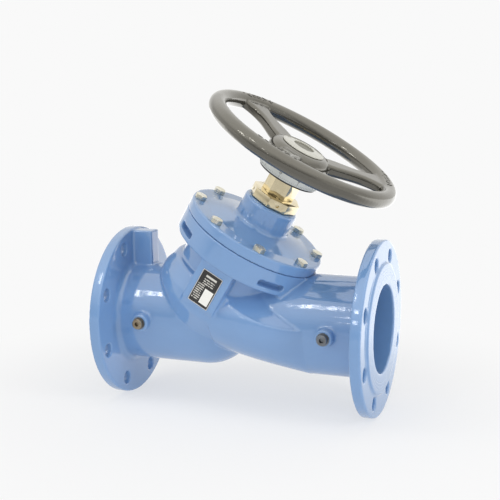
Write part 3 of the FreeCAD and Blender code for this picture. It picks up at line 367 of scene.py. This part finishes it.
turned_metal, given = effect("turned_metal", Place="Vector", Metal="Color", Dull="Float")
tree = turned_metal
radius, level, turn = round_axis(tree, given["Place"])
rings = node(tree, "CombineXYZ", {"X": radius, "Y": level, "Z": times(tree, turn, 0.0006)})
tool_marks = grain(tree, rings.outputs[0], waves=1500.0)
stains = grain(tree, given["Place"], waves=70.0, detail=4.0, rough=0.65)
handling = grain(tree, given["Place"], waves=320.0, detail=3.0, rough=0.6)
tint = summed(tree, times(tree, stains, 0.5), times(tree, tool_marks, 0.16))
put_out(tree, toned(tree, given["Metal"], tint),
        summed(tree, given["Dull"], times(tree, stains, 0.22), times(tree, handling, 0.12)),
        summed(tree, times(tree, tool_marks, 0.00003), times(tree, handling, 0.00001)))


def turned_finish(name, metal, dull):
    """A bare metal with tool marks that run round the stem."""
    material, tree, shader, place = finish(name, Metallic=1.0)
    skin = placed(tree, turned_metal, {"Place": from_stem(tree, place), "Metal": (*metal, 1.0),
                                       "Dull": dull})
    surfaced(tree, shader, skin["Colour"], skin["Roughness"], skin["Height"])
    return material


def dressed(name, material):
    """Gives a CAD piece that keeps its own mesh its material."""
    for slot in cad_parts[name].material_slots:
        slot.material = material


seat_steel = turned_finish("seat_steel", (0.60, 0.59, 0.57), dull=0.24)
dressed("seat_ring", seat_steel)

# Disc, throttle plug and carrier
# The disc is cast iron in dark epoxy with a rubber ring in its face. The bronze throttle plug
# under it shapes the flow, and both hang on the bronze sleeve that the stem screws up and down,
# between two steel keys that keep it from turning.


def painted_finish(name, paint, swell, dull, **values):
    """A paint on iron, with its slow swell and its fine grain."""
    material, tree, shader, place = finish(name, **values)
    film = placed(tree, paint_film, {"Place": place, "Paint": (*paint, 1.0), "Swell": swell,
                                     "Dull": dull})
    surfaced(tree, shader, film["Colour"], film["Roughness"], film["Height"])
    return material


dark_epoxy = painted_finish("dark_epoxy", (0.045, 0.05, 0.055), swell=0.0002, dull=0.34,
                            Coat_Weight=0.3, Coat_Roughness=0.2)
dressed("disc", dark_epoxy)

rubber, tree, shader, place = finish("rubber")
bloom = grain(tree, place, waves=120.0, detail=4.0, rough=0.6)
skin = grain(tree, place, waves=2400.0)
surfaced(tree, shader, toned(tree, (0.020, 0.020, 0.021), times(tree, bloom, 0.9)),
         summed(tree, 0.55, times(tree, bloom, 0.3)), times(tree, skin, 0.00002))
dressed("disc_seal", rubber)

bronze = turned_finish("bronze", (0.62, 0.40, 0.22), dull=0.28)
for name in ("throttle_plug", "carrier_sleeve"):
    dressed(name, bronze)


def mixed(tree, share, first, second):
    """One colour that turns into another where a share rises from nought to one."""
    return node(tree, "Mix", {0: share, 6: first, 7: second}, data_type="RGBA").outputs[2]


zinc_plate, given = effect("zinc_plate", Place="Vector", Metal="Color", Tarnish="Color")
tree = zinc_plate
blush = grain(tree, given["Place"], waves=90.0, detail=4.0, rough=0.6)
scuffs = grain(tree, given["Place"], waves=700.0, detail=3.0, rough=0.6)
share = worked_out(tree, "MULTIPLY_ADD", blush, 3.0, 0.4, clamp=True)
tarnished = mixed(tree, share, given["Metal"], given["Tarnish"])
put_out(tree, toned(tree, tarnished, times(tree, scuffs, 0.3)),
        summed(tree, 0.30, times(tree, blush, 0.25), times(tree, scuffs, 0.15)),
        times(tree, scuffs, 0.00002))


def plated_finish(name, metal, tarnish):
    """A plated steel with a blush of tarnish."""
    material, tree, shader, place = finish(name, Metallic=0.92)
    skin = placed(tree, zinc_plate, {"Place": place, "Metal": (*metal, 1.0),
                                     "Tarnish": (*tarnish, 1.0)})
    surfaced(tree, shader, skin["Colour"], skin["Roughness"], skin["Height"])
    return material


bright_zinc = plated_finish("bright_zinc", (0.78, 0.77, 0.71), (0.70, 0.66, 0.50))
for name in ("carrier_washer", "carrier_nut"):
    dressed(name, bright_zinc)
key_steel = plated_finish("key_steel", (0.50, 0.50, 0.49), (0.38, 0.36, 0.33))
dressed("guide_keys", key_steel)

# Stem
# A stainless stem with its thrust collar, turned from bar. Its lower end has the thread that
# lifts the disc, and above the collar it is ground where the packing seals it.

thread_pitch = 0.005
thread_depth = 0.0011
thread_top = 0.128
thread_core = 0.0105

stem_steel, tree, shader, place = finish("stem_steel", Metallic=1.0)
about = from_stem(tree, place)
skin = placed(tree, turned_metal, {"Place": about, "Metal": (0.58, 0.57, 0.55, 1.0),
                                   "Dull": 0.20})
radius, level, turn = round_axis(tree, about)
winding = worked_out(tree, "SUBTRACT", times(tree, level, 1.0 / thread_pitch),
                     times(tree, turn, 1.0 / math.tau))
tooth = worked_out(tree, "PINGPONG", winding, 0.5)
flank = worked_out(tree, "MULTIPLY_ADD", tooth, 3.0, -0.25, clamp=True)
low_end = worked_out(tree, "LESS_THAN", level, thread_top)
outside = worked_out(tree, "GREATER_THAN", radius, thread_core)
thread = times(tree, flank, low_end, outside, thread_depth)
surfaced(tree, shader, skin["Colour"], skin["Roughness"], summed(tree, skin["Height"], thread))
dressed("stem", stem_steel)

# Setting spindle
# A slim stainless rod inside the stem, with a hexagon socket in its head. It limits how far the
# valve opens, and a rubber ring seals it.

rod_steel = turned_finish("rod_steel", (0.60, 0.60, 0.59), dull=0.18)
dressed("setting_spindle", rod_steel)
dressed("setting_o_ring", rubber)

# Bonnet
# The cover over the chamber, cast in the same iron and painted with the body, with the neck
# that holds the gland and, inside, the sleeve that guides the disc carrier. The sleeve's bore is
# opened a little where the softened surface would touch the carrier.

bore_inside, bore_opened = 0.0205, 0.0226
bore_foot, bore_top = 0.090, 0.172
along_stem = Matrix.Translation(stem_foot) @ Matrix.Rotation(stem_lean, 4, "Y")
to_stem = along_stem.inverted()

bonnet_casting = soft_casting("bonnet", "bonnet_casting", cell=0.0014, share=0.5)
for vertex in bonnet_casting.data.vertices:
    spot = to_stem @ vertex.co
    radius = math.hypot(spot.x, spot.y)
    if bore_inside < radius < bore_opened and bore_foot < spot.z < bore_top:
        opened = bore_opened / radius
        vertex.co = along_stem @ Vector((spot.x * opened, spot.y * opened, spot.z))
fitted(bonnet_casting, blue_paint, "valve", "bonnet")

# Bonnet gasket, stem bush and thrust rings
# A fibre gasket, cut from sheet to lie inside the bolts, seals the joint. A bronze bush guides
# the stem, between two bronze rings that carry its collar.

gasket_fibre, tree, shader, place = finish("gasket_fibre")
fibres = grain(tree, place, waves=900.0, detail=4.0, rough=0.7)
surfaced(tree, shader, toned(tree, (0.10, 0.11, 0.10), times(tree, fibres, 1.2)),
         summed(tree, 0.65, times(tree, fibres, 0.2)), times(tree, fibres, 0.00005))
dressed("bonnet_gasket", gasket_fibre)
for name in ("stem_bush", "lower_thrust_ring", "upper_thrust_ring"):
    dressed(name, bronze)

# Bonnet bolts
# Eight hexagon bolts with chamfered heads, cold formed, threaded and plated in bright zinc that
# has a slight yellow tint.


def eased(source, name, width):
    """A copy of a machined piece with its sharp edges broken by a small round."""
    piece = loose_copy(source, name)
    bpy.ops.object.mode_set(mode="EDIT")
    bpy.ops.mesh.select_all(action="SELECT")
    bpy.ops.mesh.dissolve_limited(angle_limit=math.radians(1.0))
    bpy.ops.object.mode_set(mode="OBJECT")
    worked(piece, "BEVEL", width=width, segments=2, limit_method="ANGLE",
           angle_limit=math.radians(28.0))
    bpy.ops.object.shade_smooth_by_angle(angle=math.radians(35.0))
    return piece


bolt_heads = eased("bonnet_bolts", "bolt_heads", width=0.0004)
fitted(bolt_heads, bright_zinc, "valve", "bonnet_bolts")

# Packing, follower and collar ring
# Three braided rings are pressed round the stem by a bronze follower, and a rubber ring lies
# between the gland collar and the bonnet neck.

strands_round, strands_along = 60.0, 3000.0

braid, tree, shader, place = finish("braid")
_, level, turn = round_axis(tree, from_stem(tree, place))
around = times(tree, turn, strands_round)
one_way = worked_out(tree, "SINE", summed(tree, around, times(tree, level, strands_along)))
other_way = worked_out(tree, "SINE", summed(tree, around, times(tree, level, -strands_along)))
weave = times(tree, one_way, other_way)
soil = grain(tree, place, waves=200.0, detail=3.0)
tint = summed(tree, times(tree, weave, 0.12), times(tree, soil, 0.4))
surfaced(tree, shader, toned(tree, (0.62, 0.60, 0.54), tint),
         summed(tree, 0.7, times(tree, soil, 0.2)), times(tree, weave, 0.00018))
dressed("stem_packing", braid)
dressed("gland_follower", bronze)
dressed("gland_o_ring", rubber)

# Gland collar and gland nut
# Two brass pieces: the octagon is screwed into the bonnet neck and drilled for a pin wrench,
# and the hexagon nut over it presses the packing. Both were milled from bar, and the edges are
# broken by hand.

brass = turned_finish("brass", (0.80, 0.70, 0.48), dull=0.12)
collar = eased("gland_collar", "collar", width=0.0005)
fitted(collar, brass, "valve", "gland_collar")
nut = eased("gland_nut", "nut", width=0.0005)
fitted(nut, brass, "valve", "gland_nut")

# Scale drum and its seal
# A pale moulded ring under the handwheel, printed with ten numbers and a fine scale round its
# wall, on a dark rubber seal.

moulding, given = effect("moulding", Place="Vector", Resin="Color", Shine="Float")
tree = moulding
spark = grain(tree, given["Place"], waves=1800.0)
dust = grain(tree, given["Place"], waves=60.0, detail=5.0, rough=0.65)
put_out(tree, toned(tree, given["Resin"], times(tree, dust, 0.25)),
        summed(tree, given["Shine"], times(tree, dust, 0.2), times(tree, spark, 0.1)),
        times(tree, spark, 0.000015))


def moulded_finish(name, resin, shine, **values):
    """A moulded plastic with a fine grain and a little dust."""
    material, tree, shader, place = finish(name, **values)
    skin = placed(tree, moulding, {"Place": place, "Resin": (*resin, 1.0), "Shine": shine})
    surfaced(tree, shader, skin["Colour"], skin["Roughness"], skin["Height"])
    return material


dressed("drum_seal", rubber)
pale_plastic = moulded_finish("pale_plastic", (0.52, 0.54, 0.52), shine=0.36)
drum = eased("scale_drum", "drum", width=0.0004)
fitted(drum, pale_plastic, "stem_rotor", "scale_drum")

drum_wall = 0.0454
scale_foot = 0.2456
number_foot = 0.2505
number_height = 0.0068
ink_thick = 0.0003
ink_edge = 0.00006
front_turn = -90
number_step = 36
scale_ink = moulded_finish("scale_ink", (0.05, 0.055, 0.065), shine=0.45)


def on_drum(turn, level):
    """The place of a mark on the drum's wall, with X to its right and Z outwards."""
    facing = Matrix(((0, 0, 1, 0), (1, 0, 0, 0), (0, 1, 0, 0), (0, 0, 0, 1)))
    wall = (Matrix.Rotation(math.radians(turn), 4, "Z")
            @ Matrix.Translation((drum_wall, 0.0, level)) @ facing)
    return along_stem @ wall


def added_to_rotor(piece, material):
    """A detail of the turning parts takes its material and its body."""
    piece.data.materials.append(material)
    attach(piece, "stem_rotor")


def scale_lines(name, wide, tall, count):
    """Short printed lines round the drum, one made and the rest spun from it."""
    bpy.ops.object.select_all(action="DESELECT")
    bpy.ops.mesh.primitive_cube_add(size=1.0)
    lines = bpy.context.active_object
    lines.name = name
    bpy.ops.object.mode_set(mode="EDIT")
    bpy.ops.transform.resize(value=(wide, tall, ink_thick))
    bpy.ops.mesh.bevel(offset=ink_edge, segments=1, affect="EDGES")
    bpy.ops.object.mode_set(mode="OBJECT")
    lines.data.transform(on_drum(front_turn, scale_foot + tall / 2))
    bpy.ops.object.mode_set(mode="EDIT")
    bpy.ops.mesh.select_all(action="SELECT")
    bpy.ops.mesh.spin(steps=count - 1, dupli=True, angle=math.tau * (count - 1) / count,
                      center=stem_foot, axis=(math.sin(stem_lean), 0.0, math.cos(stem_lean)))
    bpy.ops.object.mode_set(mode="OBJECT")
    added_to_rotor(lines, scale_ink)


def lettered(sign, place, **look):
    """A sign written as text, made a mesh and put in its place."""
    bpy.ops.object.select_all(action="DESELECT")
    bpy.ops.object.text_add()
    piece = bpy.context.active_object
    piece.data.body = sign
    piece.data.align_x = "CENTER"
    for key, value in look.items():
        setattr(piece.data, key, value)
    bpy.ops.object.convert(target="MESH")
    piece.data.transform(place)
    return piece


def joined(signs, name):
    """Several signs made one piece."""
    bpy.ops.object.select_all(action="DESELECT")
    for sign in signs:
        sign.select_set(True)
    bpy.context.view_layer.objects.active = signs[0]
    bpy.ops.object.join()
    signs[0].name = name
    return signs[0]


scale_lines("fine_scale", wide=0.0003, tall=0.0022, count=100)
scale_lines("main_scale", wide=0.0005, tall=0.0038, count=10)
numbers = []
for number in range(10):
    place = on_drum(front_turn - number_step * number, number_foot)
    numbers.append(lettered(str(number), place, size=number_height, extrude=0.0001))
added_to_rotor(joined(numbers, "scale_numbers"), scale_ink)

# Handwheel
# One iron casting of hub, three flared spokes and a round rim, dipped in glossy black paint
# and keyed to the stem, with a washer and a nut under the cap. Signs for the two ways to turn
# stand up from the rim.

rim_radius = 0.1346
rim_level = 0.289
rim_half = 0.012
mark_size = 0.016
mark_lean = -12
black_paint = painted_finish("black_paint", (0.034, 0.032, 0.027), swell=0.0005, dull=0.12,
                             Coat_Weight=0.4, Coat_Roughness=0.05, IOR=2.15,
                             Specular_Tint=(1.0, 0.96, 0.84, 1.0))
wheel_casting = soft_casting("handwheel", "wheel_casting", cell=0.0012, share=0.6)
fitted(wheel_casting, black_paint, "stem_rotor", "handwheel")


def on_rim(turn):
    """The place of a cast mark on the rim, leaning from its top."""
    side, rise = math.sin(math.radians(mark_lean)), math.cos(math.radians(mark_lean))
    section = Matrix(((0.0, -rise, side, rim_radius + rim_half * side), (1.0, 0.0, 0.0, 0.0),
                      (0.0, side, rise, rim_level + rim_half * rise), (0.0, 0.0, 0.0, 1.0)))
    return along_stem @ Matrix.Rotation(math.radians(turn), 4, "Z") @ section


marks = []
for spoke in (-90, 30, 150):
    for sign, shift in (("+", -12), ("<", -7), ("=", -2), ("=", 2), (">", 7), ("-", 12)):
        marks.append(lettered(sign, on_rim(spoke + shift), size=mark_size, align_y="CENTER"))
turning_marks = joined(marks, "turning_marks")
bpy.ops.object.mode_set(mode="EDIT")
bpy.ops.mesh.select_all(action="SELECT")
bpy.ops.mesh.quads_convert_to_tris()
bpy.ops.mesh.subdivide(number_cuts=3)
bpy.ops.object.mode_set(mode="OBJECT")
worked(turning_marks, "SHRINKWRAP", target=wheel_casting)
worked(turning_marks, "SOLIDIFY", thickness=0.0013, offset=0.0)
bpy.ops.object.shade_smooth_by_angle(angle=math.radians(40.0))
added_to_rotor(turning_marks, black_paint)
dressed("wheel_key", key_steel)
for name in ("wheel_washer", "wheel_nut"):
    dressed(name, bright_zinc)

# Hub cap and access plug
# The cap snaps into the hub over the wheel nut, and the small plug in its middle lifts out to
# reach the setting spindle. Both are moulded.

cap_plastic = moulded_finish("cap_plastic", (0.54, 0.53, 0.46), shine=0.24, Coat_Weight=0.6,
                             Coat_Roughness=0.12)
cap = eased("hub_cap", "cap", width=0.0006)
fitted(cap, cap_plastic, "stem_rotor", "hub_cap")
plug_plastic = moulded_finish("plug_plastic", (0.15, 0.145, 0.11), shine=0.36)
plug = eased("access_plug", "plug", width=0.0004)
fitted(plug, plug_plastic, "stem_rotor", "access_plug")

# Test points
# A plated plug with a hexagon socket and a sealing washer, screwed into the boss by each
# flange, where a pressure gauge is joined to set the flow.

dark_plate = plated_finish("dark_plate", (0.26, 0.29, 0.33), (0.20, 0.20, 0.20))
brassy_plate = plated_finish("brassy_plate", (0.40, 0.34, 0.25), (0.28, 0.22, 0.15))
for side, look in (("inlet", brassy_plate), ("outlet", dark_plate)):
    head = eased(side + "_test_plug", side + "_gauge_plug", width=0.0004)
    fitted(head, look, "valve", side + "_test_plug")
    dressed(side + "_test_washer", dark_plate)

# Nameplate
# A thin aluminium plate stuck on the front panel, printed black inside a bare border, with a
# white writing field. Its printing is only bars, with no words.

plate_wide, plate_thick, plate_long = 0.032, 0.0008, 0.051
plate_front, plate_level = -0.0974, 0.069
row_step = 0.062

plate_print, tree, shader, place = finish("plate_print", Coat_Weight=0.3, Coat_Roughness=0.25)
parts = parted(tree, from_stem(tree, place))
along_width = worked_out(tree, "MULTIPLY_ADD", parts["X"], 1 / plate_wide, 0.5)
along_length = worked_out(tree, "MULTIPLY_ADD", parts["Z"], 1 / plate_long,
                          0.5 - plate_level / plate_long)


def printed(tree, left, right, foot, top):
    """One inside a rectangle of the plate, given in shares of its width and length."""
    return times(tree, between(tree, along_width, left, right),
                 between(tree, along_length, foot, top))


row = worked_out(tree, "FLOOR", times(tree, along_length, 1 / row_step))
row_wave = worked_out(tree, "SINE", times(tree, along_length, math.tau / row_step))
in_row = worked_out(tree, "GREATER_THAN", row_wave, 0.1)
row_place = node(tree, "CombineXYZ", {"X": along_width, "Y": row}).outputs[0]
inked = worked_out(tree, "GREATER_THAN", grain(tree, row_place, waves=14.0, detail=1.0), -0.06)
left_rows = printed(tree, left=0.08, right=0.42, foot=0.10, top=0.62)
upper_rows = printed(tree, left=0.25, right=0.78, foot=0.62, top=0.80)
rows = times(tree, worked_out(tree, "MAXIMUM", left_rows, upper_rows), in_row, inked)
head_bar = printed(tree, left=0.25, right=0.79, foot=0.83, top=0.89)
field = printed(tree, left=0.49, right=0.92, foot=0.09, top=0.53)
smear = grain(tree, place, waves=500.0, detail=3.0)
ground = toned(tree, (0.022, 0.021, 0.020), times(tree, smear, 0.8))
with_bars = mixed(tree, worked_out(tree, "MAXIMUM", rows, head_bar), ground,
                  (0.62, 0.61, 0.56, 1.0))
white = toned(tree, (0.86, 0.85, 0.80), times(tree, smear, 0.12))
surfaced(tree, shader, mixed(tree, field, with_bars, white),
         summed(tree, 0.38, times(tree, smear, 0.2)), times(tree, smear, 0.00001))
bare_aluminium = plated_finish("bare_aluminium", (0.80, 0.80, 0.79), (0.70, 0.69, 0.66))

bpy.ops.object.select_all(action="DESELECT")
bpy.ops.mesh.primitive_cube_add(size=1.0)
plate = bpy.context.active_object
plate.name = "plate"
bpy.ops.object.mode_set(mode="EDIT")
bpy.ops.transform.resize(value=(plate_wide, plate_thick, plate_long))
bpy.ops.mesh.select_mode(type="EDGE")
bpy.ops.mesh.select_all(action="DESELECT")
bpy.ops.object.mode_set(mode="OBJECT")
for edge in plate.data.edges:
    first, last = (plate.data.vertices[i].co for i in edge.vertices)
    edge.select = abs(first.y - last.y) > 0.0001
bpy.ops.object.mode_set(mode="EDIT")
bpy.ops.mesh.bevel(offset=0.0014, segments=5, affect="EDGES")
bpy.ops.mesh.select_mode(type="FACE")
bpy.ops.mesh.select_all(action="DESELECT")
bpy.ops.object.mode_set(mode="OBJECT")
for face in plate.data.polygons:
    face.select = face.normal.y < -0.9
bpy.ops.object.mode_set(mode="EDIT")
bpy.ops.mesh.inset(thickness=0.0009)
bpy.ops.mesh.inset(thickness=0.00008)
bpy.ops.transform.translate(value=(0.0, 0.0001, 0.0))
bpy.ops.object.mode_set(mode="OBJECT")
plate.data.materials.append(bare_aluminium)
plate.data.materials.append(plate_print)
for face in plate.data.polygons:
    if face.select:
        face.material_index = 1
plate.data.transform(along_stem @ Matrix.Translation((0.0, plate_front, plate_level)))
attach(plate, "valve")
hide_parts("nameplate")
